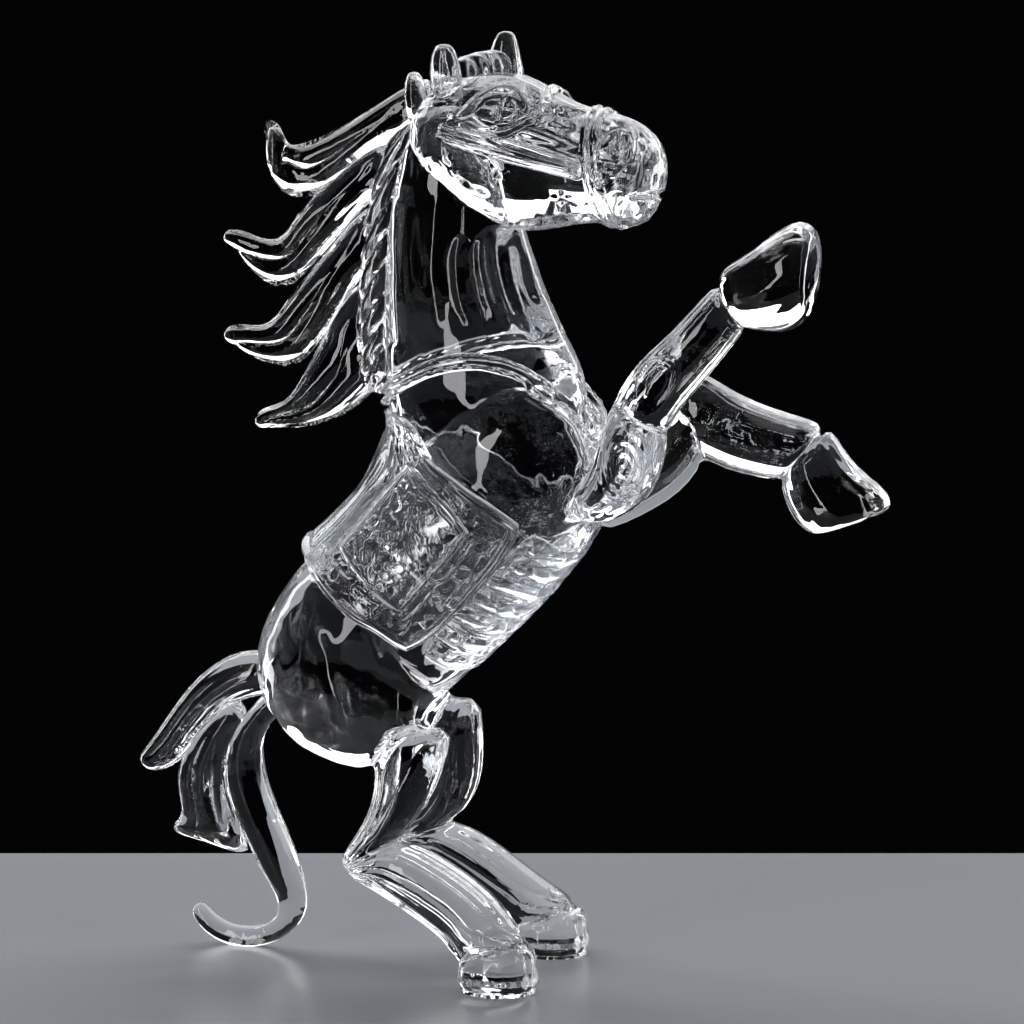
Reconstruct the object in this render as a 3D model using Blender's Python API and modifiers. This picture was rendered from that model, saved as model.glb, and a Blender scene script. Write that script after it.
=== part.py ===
"""Rearing horse figurine in clear crystal glass, standing on two hind hooves and its tail.

Every gather of glass is its own solid. Where two gathers are fused, the second one is cut to the
surface of the first with a seam of GAP between them. Sizes are in millimetres in the tables below,
and MM turns them into metres. The horse looks along +X, its left side is +Y, and +Z is up.
"near" is its right side (-Y) and "far" is its left side (+Y).
"""

import math

import bmesh
import bpy
from mathutils import Matrix, Vector

MM = 0.001
GAP = 0.3            # seam between two fused gathers
DRAPE_GAP = 0.5      # seam under a sheet that lies on a curved gather

# Trunk axis: from the croup up to the chest. u runs along it from TRUNK_START, and an angle of
# 0 degrees round it is the middle of the back.
TRUNK_START = Vector((-33.0, 0.0, 90.0))
TRUNK_SLOPE = math.radians(49.0)
CLOTH_U = (-1.5, 41.0)          # saddle cloth along the trunk axis, at the middle of the back
CLOTH_DROP = (4.5, 9.0)         # how much further up its two edges run at the belly
CLOTH_HALF_ANGLE = 127.0        # how far round each flank the saddle cloth reaches, degrees
SEAT_U = (1.0, 39.0)
SEAT_HALF_ANGLE = 41.0
FLAP_U = (11.0, 41.0)
FLAP_ANGLES = (46.0, 104.0)
CLOTH_THICK = (1.2, 1.7)        # in the field, and along the rim
FLAP_THICK = 0.9
SEAT_THICK = (1.2, 2.1)         # thinnest at its waist, thickest at the cantle and the pommel
GIRTH_THICK = (1.0, 2.0)        # between its ribs, and on them
GIRTH_RIBS = 7
TRUNK_TRIANGLES = 2400
SHEET_REACH = 36.0              # radius of the sheets before they are laid on the trunk

HIP_Y, HOCK_Y, HIND_HOOF_Y = 14.0, 17.0, 20.5   # sideways places down each hind leg
ARM_ROOT_Y, FORE_LEG_Y = 12.0, 17.0              # and along each foreleg
HAUNCH_Y, SHOULDER_Y = 10.0, 12.0

# The collar is an ellipse round the foot of the neck, in plan, that rises over each shoulder.
COLLAR_CENTRE = (-5.0, 142.5)
COLLAR_RADII = (32.0, 22.0)
COLLAR_RISE = (2.2, 15.0)       # towards the withers, and over the shoulders
COLLAR_HALF_WIDTH = 2.3
COLLAR_THICK = 1.4
COLLAR_STEPS = 36

HEAD_SIDES = 10
ROUND_SIDES = 8                 # sides of a round gather before its skin is made soft
STRAND_SIDES = 6                # and of a thin strand
TRUNK_VOXEL = 1.6

POLL = Vector((-15.0, 0.0, 215.0))
HEAD_TURN = math.radians(-10.0)   # the head looks a little to its right
HEAD_STRETCH = 1.083              # keeps the head's length as seen from the side, once turned

# Round gathers: x, z, half depth in the side view, half width across.
TRUNK = (
    (-62, 61, 7, 8), (-56.5, 68, 18.5, 19), (-46.5, 78.5, 24.3, 23), (-34, 91, 25, 23.5),
    (-21.5, 103, 25, 23), (-10, 115, 25.5, 23.5), (0, 127, 26, 24), (7, 137, 22, 22), (13, 147, 11, 13),
)
NECK = (
    (-3, 132, 23, 19), (-6, 147, 27, 18.5), (-10.5, 160, 24, 15.5), (-13, 173, 21.5, 12.5),
    (-15, 187, 18.5, 11), (-15.5, 201, 16, 10), (-16, 213, 12.5, 9), (-16, 220, 7, 6),
)
HAUNCH = (
    (-57, 88, 9, 7), (-50, 81, 19, 13), (-41, 72, 20.5, 15), (-33, 63, 15, 13), (-28, 56, 8, 8),
)
SHOULDER = ((-9, 146, 10, 6), (-3, 139, 20, 11), (3, 130, 23, 13), (10, 121, 19, 11), (15, 114, 9, 6))

# Shaped gathers, seen from the side: x, z of one edge, x, z of the other edge, half width across.
HEAD = (
    (-24, 221, -24, 208, 7), (-20, 226.5, -22, 203.5, 11), (-11, 228.8, -16, 197.5, 14),
    (-3, 230, -7, 193, 15), (4, 229.2, 1, 190.4, 14.8), (10, 226, 8, 190.6, 13.3),
    (17, 221.8, 15, 192.2, 11), (24, 220.2, 22, 193.2, 9.8), (30, 218.8, 28, 192.6, 9.8),
    (34.2, 216.8, 32.4, 191.6, 9.6), (37.4, 213.4, 35.2, 194.2, 8.4), (38.8, 208.5, 37, 199, 4.5),
)
CREST = (
    (-27, 219, -21, 216, 3), (-33, 213, -25, 211, 4.4), (-37, 203, -28, 203, 4.8),
    (-39.8, 187, -31, 187, 5), (-40.5, 174, -32, 174, 5), (-41, 163, -32.3, 163, 5),
    (-40.5, 153.5, -32, 153, 4.6), (-38.6, 148.5, -34, 147.5, 3),
)
LOCKS = (
    ((-19, 231, -25, 215, 4.6), (-30, 225.5, -34, 212, 4.6), (-39, 219.7, -43, 206, 4.5),
     (-48, 214.7, -51, 199.5, 4.4), (-56, 212, -59, 196.5, 4), (-60.3, 210.8, -65.5, 202, 3.4),
     (-61.8, 212.4, -67, 209.5, 2.8), (-62.8, 215.3, -66.5, 213.2, 2.2), (-64.8, 217.8, -66.8, 214.3, 2),
     (-67, 217.4, -67.7, 215.2, 1.2)),
    ((-31, 214, -34, 198, 4.8), (-38, 211.5, -40, 197, 4.8), (-45, 206.5, -47, 188.5, 4.7),
     (-52, 200.5, -54, 181.5, 4.5), (-58, 194.5, -60.3, 174.5, 4.2), (-60.8, 189.3, -65.5, 175, 3.8),
     (-64, 186.9, -70, 177.8, 3.2), (-68.5, 187, -73, 181.3, 2.7), (-72.6, 188.9, -75.2, 184.6, 2.3),
     (-76.8, 189.9, -77.4, 185.8, 2.1), (-79, 188.6, -79, 186.6, 1.2)),
    ((-33, 197, -36, 178, 4.8), (-40, 196, -42.5, 178, 4.8), (-46, 189, -48.5, 168, 4.7),
     (-52.5, 182, -54, 159, 4.5), (-58, 175.8, -59, 154.2, 4.2), (-61.3, 172, -64.8, 154.4, 3.8),
     (-63.6, 168, -69.5, 156, 3.3), (-67, 165, -72.5, 157.4, 2.8), (-71.3, 164.6, -75.2, 159.3, 2.5),
     (-75.8, 165.3, -78.2, 160.4, 2.3), (-79, 163.8, -79.3, 161.6, 1.3)),
    ((-33, 178, -35, 151, 4.8), (-40, 178, -39.5, 147.2, 4.8), (-46.5, 172, -44.2, 142.9, 4.6),
     (-51, 163, -50.7, 139.8, 4.4), (-55.5, 155, -58, 138.5, 4), (-58.3, 149.4, -64, 138.7, 3.4),
     (-62, 145.2, -67.5, 138.4, 2.9), (-66.6, 143.9, -69.6, 138.4, 2.5), (-70.2, 142.4, -70.8, 139, 1.8)),
)
NEAR_ARM = (
    (34, 152, 46.4, 143, 5.5), (31, 146.5, 45.4, 139.5, 7.4), (29, 141, 44.5, 134, 7.8),
    (27, 135, 42.2, 128.4, 7.8), (24, 129, 38, 123.6, 7.4), (19, 124, 32.5, 120.5, 6.6),
    (14, 121, 27, 118.5, 5),
)
NEAR_FOREARM = (
    (31, 146.5, 44.5, 139, 5.5), (34.2, 152.5, 46.8, 144.3, 7), (38.9, 159.6, 49.7, 149, 7.2),
    (44.4, 164.2, 54, 154, 6.9), (50, 169.6, 59, 159.8, 6.5), (55, 175.2, 63, 164.9, 6.1),
    (59.5, 180, 66.5, 169, 5.2),
)
NEAR_FORE_HOOF = (
    (58.2, 179.6, 64.6, 168.8, 5.4), (61, 183.2, 67, 168.3, 6.9), (64.5, 184.8, 70, 168, 7.8),
    (69.4, 188.4, 74, 167.6, 9), (74.4, 192.3, 77.4, 168.4, 10), (79.2, 194.5, 79.6, 170, 10.2),
    (82.4, 193, 81, 171.6, 9.6), (83.2, 190, 81.9, 175, 7.5),
)
FAR_ARM = (
    (13, 124, 19, 112.8, 5), (20, 130, 27, 115.7, 7), (26, 137, 34, 119.4, 7.8),
    (33, 143.5, 40.5, 123.5, 8), (40, 148, 45.4, 129.6, 7.6), (45, 149, 47, 135, 6),
)
FAR_FOREARM = (
    (37, 149, 37.4, 140, 3.4), (40.4, 155, 40.4, 134, 6.4), (46.6, 153.9, 46, 132.8, 7.6),
    (52, 150.2, 51.5, 130.2, 7.6),
    (59, 147.2, 58, 128.8, 7.3), (67, 144.7, 64, 128, 7), (73.4, 143.2, 67.5, 128.6, 6.7),
    (77.4, 141.6, 70, 131.5, 5),
)
FAR_FORE_HOOF = (
    (77.8, 142, 66.3, 129, 5.4), (79.8, 139.2, 66.4, 125.8, 7), (83.2, 134, 67.6, 122, 8.2),
    (88, 129.5, 69.6, 118.4, 9.2), (92.6, 126.4, 72, 116, 9.7), (94.4, 123, 74.6, 114.9, 9),
    (93, 120.6, 77, 114.9, 6.5),
)
NEAR_GASKIN = (
    (-34, 64, -11, 66, 7.5), (-31.4, 56, -12.4, 59, 8), (-30.9, 48.4, -15.2, 49.8, 7.5),
    (-33, 41.4, -19.4, 42.6, 6.9), (-37, 35, -25.4, 35.6, 6.3), (-40, 30.4, -31, 30.4, 5.2),
    (-40.8, 27, -36, 26.6, 3.4),
)
FAR_GASKIN = (
    (-34, 66, -13.6, 70, 7.5), (-31, 58, -13.8, 59, 8), (-29.5, 51, -13.7, 51.7, 7.5),
    (-30, 45, -14.8, 44.6, 7), (-33, 38.5, -18.4, 38, 6.4), (-37.4, 32.5, -25, 33, 5.6),
    (-39, 28.5, -32, 28.5, 3.6),
)
NEAR_CANNON = (
    (-38, 30.4, -40.6, 27.6, 2.6), (-30, 34.8, -36.4, 25, 5.6), (-21, 36, -30.8, 23, 6.8),
    (-12, 32, -24.2, 19.6, 7.2), (-4, 27.8, -17.6, 16, 7.3), (3, 22.8, -11.8, 12.5, 7.4),
    (8.2, 16.6, -8.4, 9.4, 7.6), (10.6, 10, -7.4, 5.4, 7.2),
)
FAR_CANNON = (
    (-36.5, 31, -39, 27, 2.6), (-29, 34, -34, 24.4, 5.6), (-21, 33.4, -27.6, 20.4, 6.8),
    (-13, 29.6, -21, 16.4, 7.2), (-6, 24.6, -15, 12.6, 7.3), (0, 20.4, -10, 9.8, 7.4),
    (6.4, 16.2, -7.2, 7.6, 7.6), (10.6, 11.8, -6.2, 5.2, 7.2),
)
HIND_HOOF = (
    (-5.8, 8.6, 10.4, 12.2, 7.4), (-6.4, 6.4, 12.4, 9.2, 8.4), (-6.9, 3.4, 13.5, 5, 9.1),
    (-7, 1, 13.8, 1.4, 9.3), (-6.4, -1.6, 13.2, -1.6, 8.6), (-4, -3.4, 11, -3.4, 6),
)
TAIL_HOOK = (
    (-62, 74, -58, 66, 3.6), (-69.9, 67.6, -66, 62.6, 4.6), (-77, 58.6, -70.4, 57, 4.8),
    (-80.6, 50, -69.9, 50.8, 4.8), (-80, 41.6, -68.4, 44.4, 4.7), (-77.4, 35, -65.9, 38.2, 4.6),
    (-74, 28.6, -62.8, 31.8, 4.5), (-70.4, 21.8, -60, 25, 4.4), (-66.9, 17, -57.8, 18.4, 4.2),
    (-64.6, 13.2, -57, 12.4, 4), (-65.4, 9.6, -59.4, 7, 3.7), (-68.8, 6.6, -65, 2.2, 3.3),
    (-74, 5.2, -73, -0.5, 3), (-79.6, 5.4, -80.4, -0.3, 2.9), (-84, 7.8, -86.6, 2.8, 2.8),
    (-86.6, 10.4, -89.8, 6.8, 2.4), (-88.4, 11, -90.4, 9, 1.4),
)
TAIL_OUTER = (
    (-63, 79.4, -62, 68, 4.4), (-71.2, 80, -69, 68.4, 4.8), (-78.7, 78.2, -76.4, 66, 4.8),
    (-87.1, 72.5, -83, 61, 4.6), (-94, 64.6, -88.6, 54.2, 4.2), (-99.2, 57, -93.4, 48.2, 3.5),
    (-103.2, 51.6, -98.8, 45.8, 2.8), (-105.8, 48.8, -103, 45.4, 1.8),
)
TAIL_MIDDLE = (
    (-76, 68, -73, 60, 3.6), (-82, 64, -77.5, 55, 4.4), (-87.4, 58.6, -79, 48.5, 4.6),
    (-92, 52, -78.6, 41, 4.6), (-94.6, 45.6, -76.4, 33.4, 4.5), (-93.8, 39, -72.4, 24, 4.3),
    (-92.9, 34.4, -80, 26, 3.7), (-94.6, 31.8, -89.4, 28.4, 2.6), (-96.2, 31, -94.4, 28.8, 1.4),
)

# Small gathers of the head. Ears: offset from the base, half depth, half width.
EARS = (("near", -1, -13.2, 0.0), ("far", 1, -6.4, 3.4))   # side, sign, x of the base, extra height
EAR_BASE = (224.5, 7.0)                                       # z, and distance from the middle
EAR = ((0, -2, 0, 4.2, 3.8), (0.8, 2.5, 0, 4.5, 3.8), (1.6, 7, 0.6, 3.9, 3.1), (2, 10.4, 1, 2.9, 2.4),
       (2.1, 12.2, 1, 1.5, 1.4))
EYE = (4.2, 219.8, 10.2, 3.4)                                 # x, z, distance from the middle, radius
FORELOCK = ((-12.5, -6, 229, 3, 3), (-10.5, -2, 230, 4.4, 4), (-7.5, 4, 231, 4.8, 4.6),
            (-5.5, 9, 231.5, 3.4, 3.6))
POLL_TUFT_Y = 7.5
POLL_TUFT = ((-22.2, 230, 1.2, 1.2), (-22, 227.5, 2.4, 2.4), (-21.8, 223.5, 2.8, 2.6),
             (-21.8, 219.5, 2.2, 2.2), (-22, 216.6, 1, 1))
MOUTH = ((33.2, 199.6), (46, 204.6), (46, 196.4))            # wedge between the lips
MOUTH_HALF_WIDTH = 15.0
STRAP_THICK = 1.1
CHEEK_LINE = ((-13, 216), (-6, 213.8), (3, 211.3), (12, 208.9), (22.4, 206.1))
CHEEK_HALF_WIDTH = 1.9
CHEEK_REACH = 17.0
# Bands round the head: name, x, z, radii, half width, lean, half angle over the top, steps.
BANDS = (
    ("noseband", 25.8, 206, (18, 14), 2.3, -0.08, None, 20),
    ("headpiece", -17.5, 213, (20, 18), 1.5, 0.0, 86, 15),
    ("browband", 14.5, 209, (20, 17), 1.5, -0.1, 58, 11),
)


def trunk_point(u, degrees, radius):
    """A point at u along the trunk axis, at an angle round it from the middle of the back."""
    along = Vector((math.cos(TRUNK_SLOPE), 0, math.sin(TRUNK_SLOPE)))
    back = Vector((-math.sin(TRUNK_SLOPE), 0, math.cos(TRUNK_SLOPE)))
    angle = math.radians(degrees)
    return TRUNK_START + along * u + (back * math.cos(angle) + Vector((0, 1, 0)) * math.sin(angle)) * radius


def clear_scene():
    for obj in list(bpy.data.objects):
        bpy.data.objects.remove(obj)


def collection(name, hidden=False):
    made = bpy.data.collections.new(name)
    bpy.context.scene.collection.children.link(made)
    made.hide_render = hidden
    return made


def crystal(name, colour, roughness=0.02):
    """A clear glass for one kind of piece."""
    material = bpy.data.materials.new(name)
    material.use_nodes = True
    shader = material.node_tree.nodes["Principled BSDF"]
    shader.inputs["Base Color"].default_value = (*colour, 1.0)
    shader.inputs["Roughness"].default_value = roughness
    shader.inputs["Metallic"].default_value = 0.0
    shader.inputs["Transmission Weight"].default_value = 1.0
    shader.inputs["IOR"].default_value = 1.52
    return material


def add_object(name, bm, material):
    """Puts a bmesh, in millimetres, into the horse's collection as a named piece."""
    bmesh.ops.recalc_face_normals(bm, faces=bm.faces)
    bmesh.ops.scale(bm, vec=(MM, MM, MM), verts=bm.verts)
    mesh = bpy.data.meshes.new(name)
    bm.to_mesh(mesh)
    bm.free()
    obj = bpy.data.objects.new(name, mesh)
    obj.data.materials.append(material)
    PIECES.objects.link(obj)
    return obj


def bake(obj):
    """Replaces an object's mesh by its evaluated one and drops its modifiers."""
    bpy.context.view_layer.update()
    graph = bpy.context.evaluated_depsgraph_get()
    mesh = bpy.data.meshes.new_from_object(obj.evaluated_get(graph))
    obj.modifiers.clear()
    obj.data = mesh
    return obj


def subdivide(obj, levels):
    modifier = obj.modifiers.new("Soft form", "SUBSURF")
    modifier.levels = levels
    modifier.render_levels = levels
    return bake(obj)


def add_rings(bm, stations, sides):
    """Adds a closed loft through elliptical rings. A station is (centre, half depth, half width)."""
    swell = 6.0 / (4.0 + 2.0 * math.cos(2 * math.pi / sides))  # what subdivision takes off the radius
    rings = []
    for centre, depth, width in stations:
        ring = []
        for k in range(sides):
            angle = 2 * math.pi * k / sides
            ring.append(bm.verts.new(centre + (depth * math.cos(angle) + width * math.sin(angle)) * swell))
        rings.append(ring)
    for low, high in zip(rings, rings[1:]):
        for k in range(sides):
            bm.faces.new((low[k], low[(k + 1) % sides], high[(k + 1) % sides], high[k]))
    bm.faces.new(rings[0][::-1])
    bm.faces.new(rings[-1])


def round_stations(table, y=0.0):
    """Stations of a table of (x, z, half depth, half width), square to their own path."""
    centres = [Vector((x, y, z)) for x, z, _, _ in table]
    across = Vector((0, 1, 0))
    stations = []
    for i, (_, _, depth, width) in enumerate(table):
        tangent = (centres[min(i + 1, len(centres) - 1)] - centres[max(i - 1, 0)]).normalized()
        stations.append((centres[i], across.cross(tangent) * depth, across * width))
    return stations


def edge_stations(table, y=0.0, y_end=None):
    """Stations of a table of edge pairs, at y or running evenly from y to y_end."""
    stations = []
    for i, (x1, z1, x2, z2, width) in enumerate(table):
        side = y if y_end is None else y + (y_end - y) * i / (len(table) - 1)
        centre = Vector(((x1 + x2) / 2, side, (z1 + z2) / 2))
        stations.append((centre, Vector(((x1 - x2) / 2, 0, (z1 - z2) / 2)), Vector((0, width, 0))))
    return stations


def loft(name, stations, sides=ROUND_SIDES):
    """A gather of clear glass with a soft skin."""
    bm = bmesh.new()
    add_rings(bm, stations, sides)
    return subdivide(add_object(name, bm, BODY), 1)


def melt(name, tables, voxel, triangles):
    """Several lofts run together into one gather, as hot glass does."""
    bm = bmesh.new()
    for stations in tables:
        add_rings(bm, stations, 12)
    obj = subdivide(add_object(name, bm, BODY), 2)
    remesh = obj.modifiers.new("Run together", "REMESH")
    remesh.mode = "VOXEL"
    remesh.voxel_size = voxel * MM
    smooth = obj.modifiers.new("Surface tension", "SMOOTH")
    smooth.factor = 0.5
    smooth.iterations = 8
    bake(obj)
    thin = obj.modifiers.new("Fewer facets", "DECIMATE")
    thin.ratio = triangles / (2.0 * len(obj.data.polygons))
    return bake(obj)


def swollen(obj, gap):
    """A hidden copy of a piece, grown by the seam, to cut its neighbours with."""
    cutter = bpy.data.objects.new("cut_" + obj.name, obj.data.copy())
    CUTTERS.objects.link(cutter)
    cutter.hide_render = True
    cutter.display_type = "WIRE"
    grow = cutter.modifiers.new("Seam", "DISPLACE")
    grow.direction = "NORMAL"
    grow.mid_level = 0.0
    grow.strength = gap * MM
    return bake(cutter)


def keep_largest(obj):
    """Drops the scraps that a cut leaves on the far side of a neighbour."""
    bm = bmesh.new()
    bm.from_mesh(obj.data)
    unseen = set(bm.faces)
    bodies = []
    while unseen:
        stack = [unseen.pop()]
        body = list(stack)
        while stack:
            for edge in stack.pop().edges:
                for face in edge.link_faces:
                    if face in unseen:
                        unseen.remove(face)
                        stack.append(face)
                        body.append(face)
        bodies.append(body)
    bodies.sort(key=lambda faces: sum(face.calc_area() for face in faces))
    for body in bodies[:-1]:
        bmesh.ops.delete(bm, geom=body, context="FACES")
    bm.to_mesh(obj.data)
    bm.free()
    return obj


def is_closed(obj):
    """True if every edge of a mesh joins exactly two faces and every vertex one fan of them."""
    bm = bmesh.new()
    bm.from_mesh(obj.data)
    closed = all(edge.is_manifold for edge in bm.edges) and all(vert.is_manifold for vert in bm.verts)
    bm.free()
    return closed


def cut_away(obj, cutter, name):
    """Subtracts a cutter, with the exact solver unless that leaves an edge that does not close."""
    whole = obj.data
    for solver in ("EXACT", "MANIFOLD"):
        obj.data = whole.copy()
        cut = obj.modifiers.new(name, "BOOLEAN")
        cut.operation = "DIFFERENCE"
        cut.solver = solver
        cut.object = cutter
        keep_largest(bake(obj))
        if is_closed(obj):
            break
    bpy.data.objects.remove(cutter)
    return obj


def seat(child, *parents):
    """Cuts a gather to the surfaces that it is fused to."""
    for parent in parents:
        cut_away(child, swollen(parent, GAP), "Seat")
    return child


def cut_level(obj):
    """Grinds off what is below the floor, so that the piece stands on a flat."""
    bm = bmesh.new()
    bmesh.ops.create_cube(bm, size=80)
    bmesh.ops.translate(bm, vec=(0, 0, -40), verts=bm.verts)
    block = add_object("floor_cut", bm, BODY)
    block.location = (obj.data.vertices[0].co.x, 0, 0)
    return cut_away(obj, block, "Ground flat")


def lay_on(obj, target):
    """Moves each vertex of an open sheet to the nearest point just off a gather."""
    lay = obj.modifiers.new("Lie on the gather", "SHRINKWRAP")
    lay.target = target
    lay.wrap_method = "NEAREST_SURFACEPOINT"
    lay.wrap_mode = "ABOVE_SURFACE"
    lay.offset = DRAPE_GAP * MM
    return bake(obj)


def sheet(name, rows, target, material, thick, closed=False, weights=None, relax=0):
    """Lays an open grid of points on a gather and gives it a thickness outwards.

    rows is a list of rows of points. closed joins each row's end to its start. weights, one for
    each point, go from 0 to 1 between the two values of thick. relax evens out a long band.
    """
    bm = bmesh.new()
    grid = [[bm.verts.new(p) for p in row] for row in rows]
    count = len(rows[0])
    for low, high in zip(grid, grid[1:]):
        for k in range(count if closed else count - 1):
            bm.faces.new((low[k], low[(k + 1) % count], high[(k + 1) % count], high[k]))
    bmesh.ops.scale(bm, vec=(MM, MM, MM), verts=bm.verts)
    mesh = bpy.data.meshes.new(name)
    bm.to_mesh(mesh)
    bm.free()
    obj = bpy.data.objects.new(name, mesh)
    obj.data.materials.append(material)
    PIECES.objects.link(obj)
    lay_on(obj, target)
    if relax:
        even = obj.modifiers.new("Even out", "SMOOTH")
        even.factor = 0.5
        even.iterations = relax
        lay_on(bake(obj), target)
    if facing_in(obj, target):
        obj.data.flip_normals()
    solid = obj.modifiers.new("Thickness", "SOLIDIFY")
    solid.offset = 1.0
    solid.use_even_offset = False
    if weights is None:
        solid.thickness = thick * MM
    else:
        group = obj.vertex_groups.new(name="thick")
        for index, weight in enumerate(weights):
            group.add([index], weight, "REPLACE")
        solid.thickness = thick[1] * MM
        solid.vertex_group = group.name
        solid.thickness_vertex_group = thick[0] / thick[1]
    return bake(obj)


def facing_in(obj, target):
    """True if most of an open sheet's faces look into the gather that it lies on."""
    votes = 0
    for face in obj.data.polygons:
        found, _, normal, _ = target.closest_point_on_mesh(face.center)
        votes += 1 if found and normal.dot(face.normal) < 0 else -1
    return votes > 0


def spread(low, high, count):
    """Evenly spaced values, both ends included."""
    return [low + (high - low) * i / (count - 1) for i in range(count)]


def rounded(s, t, pull=0.06):
    """Moves a point of the square -1 to 1 so that the square's corners round off."""
    return s * (1 - pull * t ** 4), t * (1 - pull * s ** 4)


def trunk_patch(u_range, drop, angles, along, around):
    """Rows of points over the trunk, with rounded corners. drop moves the ends down the flanks."""
    rows = []
    for s in spread(-1, 1, along):
        row = []
        for t in spread(-1, 1, around):
            a, b = rounded(s, t)
            angle = (angles[0] + angles[1]) / 2 + b * (angles[1] - angles[0]) / 2
            lean = min(angle, 360 - angle) if angle > 180 else abs(angle)
            low = u_range[0] + drop[0] * lean / CLOTH_HALF_ANGLE
            high = u_range[1] + drop[1] * lean / CLOTH_HALF_ANGLE
            row.append(trunk_point((low + high) / 2 + a * (high - low) / 2, angle, SHEET_REACH))
        rows.append(row)
    return rows


def make_trunk():
    tables = [round_stations(TRUNK), round_stations(NECK)]
    for side in (-1, 1):
        tables.append(round_stations(HAUNCH, side * HAUNCH_Y))
        tables.append(round_stations(SHOULDER, side * SHOULDER_Y))
    return melt("trunk", tables, TRUNK_VOXEL, TRUNK_TRIANGLES)


def head_place(x, z, y=0.0):
    """A point of the head, stretched forward of the poll."""
    return Vector((POLL.x + (x - POLL.x) * HEAD_STRETCH, y, z))


def make_head():
    stations = []
    for x1, z1, x2, z2, width in HEAD:
        upper, lower = head_place(x1, z1), head_place(x2, z2)
        stations.append(((upper + lower) / 2, (upper - lower) / 2, Vector((0, width, 0))))
    head = loft("head", stations, HEAD_SIDES)
    bm = bmesh.new()
    wedge = bm.faces.new([bm.verts.new(head_place(x, z, -MOUTH_HALF_WIDTH)) for x, z in MOUTH])
    swept = bmesh.ops.extrude_face_region(bm, geom=[wedge])["geom"]
    moved = [item for item in swept if isinstance(item, bmesh.types.BMVert)]
    bmesh.ops.translate(bm, vec=(0, 2 * MOUTH_HALF_WIDTH, 0), verts=moved)
    return cut_away(head, add_object("mouth_cut", bm, BODY), "Mouth")


def cheek_strap(name, y, head):
    """A flat band of glass along the cheek, from the headpiece to the noseband."""
    path = [head_place(x, z, y) for x, z in CHEEK_LINE]
    rows = [[], [], []]
    for i, p in enumerate(path):
        tangent = (path[min(i + 1, len(path) - 1)] - path[max(i - 1, 0)]).normalized()
        across = tangent.cross(Vector((0, y, 0))).normalized() * CHEEK_HALF_WIDTH
        for row, share in zip(rows, (-1, 0, 1)):
            row.append(p + across * share)
    return sheet(name, rows, head, BRIDLE, STRAP_THICK)


def head_band(head, name, x, z, radii, half_width, lean, half_angle, steps):
    """A band round the head: whole, or over the top down to an angle on each side."""
    whole = half_angle is None
    turns = [360.0 * k / steps for k in range(steps)] if whole else spread(-half_angle, half_angle, steps)
    centre = head_place(x, z)
    rows = []
    for shift in (-half_width, 0, half_width):
        row = []
        for degrees in turns:
            angle = math.radians(degrees)
            up = math.cos(angle) * radii[0]
            row.append(centre + Vector((shift + lean * up, math.sin(angle) * radii[1], up)))
        rows.append(row)
    return sheet(name, rows, head, BRIDLE, STRAP_THICK, closed=whole)


def make_ears(head):
    ears = []
    for side, sign, x, lift in EARS:
        base = head_place(x, EAR_BASE[0], sign * EAR_BASE[1])
        rings = []
        for out, up, share, depth, width in EAR:
            place = base + Vector((0, sign * out, up + lift * share))
            rings.append((place, Vector((depth, 0, 0)), Vector((0, width, 0))))
        ears.append(seat(loft(side + "_ear", rings), head))
    return ears


def make_eyes(head):
    x, z, y, radius = EYE
    eyes = []
    for side, sign in (("near", -1), ("far", 1)):
        bm = bmesh.new()
        bmesh.ops.create_uvsphere(bm, u_segments=14, v_segments=9, radius=radius)
        bmesh.ops.translate(bm, vec=head_place(x, z, sign * y), verts=bm.verts)
        eyes.append(seat(add_object(side + "_eye", bm, BODY), head))
    return eyes


def make_forelock(head, ears):
    """The ridge of glass that joins the two ears."""
    rings = []
    for x, y, z, depth, rise in FORELOCK:
        rings.append((head_place(x, z, y), Vector((depth, 0, 0)), Vector((0, 0, rise))))
    return seat(loft("forelock", rings, STRAND_SIDES), head, *ears)


def make_poll_tufts(parts):
    """A leaf of glass behind each ear, over the end of the headpiece."""
    tufts = []
    for side, y in (("near", -POLL_TUFT_Y), ("far", POLL_TUFT_Y)):
        rings = []
        for x, z, depth, width in POLL_TUFT:
            rings.append((head_place(x, z, y), Vector((depth, 0, 0)), Vector((0, width, 0))))
        tufts.append(seat(loft(side + "_poll_tuft", rings, STRAND_SIDES), *parts))
    return tufts


def make_head_parts():
    """The head and all that is fused to it. The head comes first in the list."""
    head = make_head()
    ears = make_ears(head)
    parts = [head] + ears + make_eyes(head) + [make_forelock(head, ears)]
    for band in BANDS:
        parts.append(seat(head_band(head, *band), *ears))
    parts.append(cheek_strap("near_cheek_strap", -CHEEK_REACH, head))
    parts.append(cheek_strap("far_cheek_strap", CHEEK_REACH, head))
    return parts + make_poll_tufts(parts)


def turn_head(parts):
    """Turns the finished head, with all that is fused to it, about the poll."""
    pivot = Matrix.Translation(POLL * MM)
    turn = pivot @ Matrix.Rotation(HEAD_TURN, 4, "Z") @ pivot.inverted()
    for part in parts:
        part.data.transform(turn)


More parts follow.
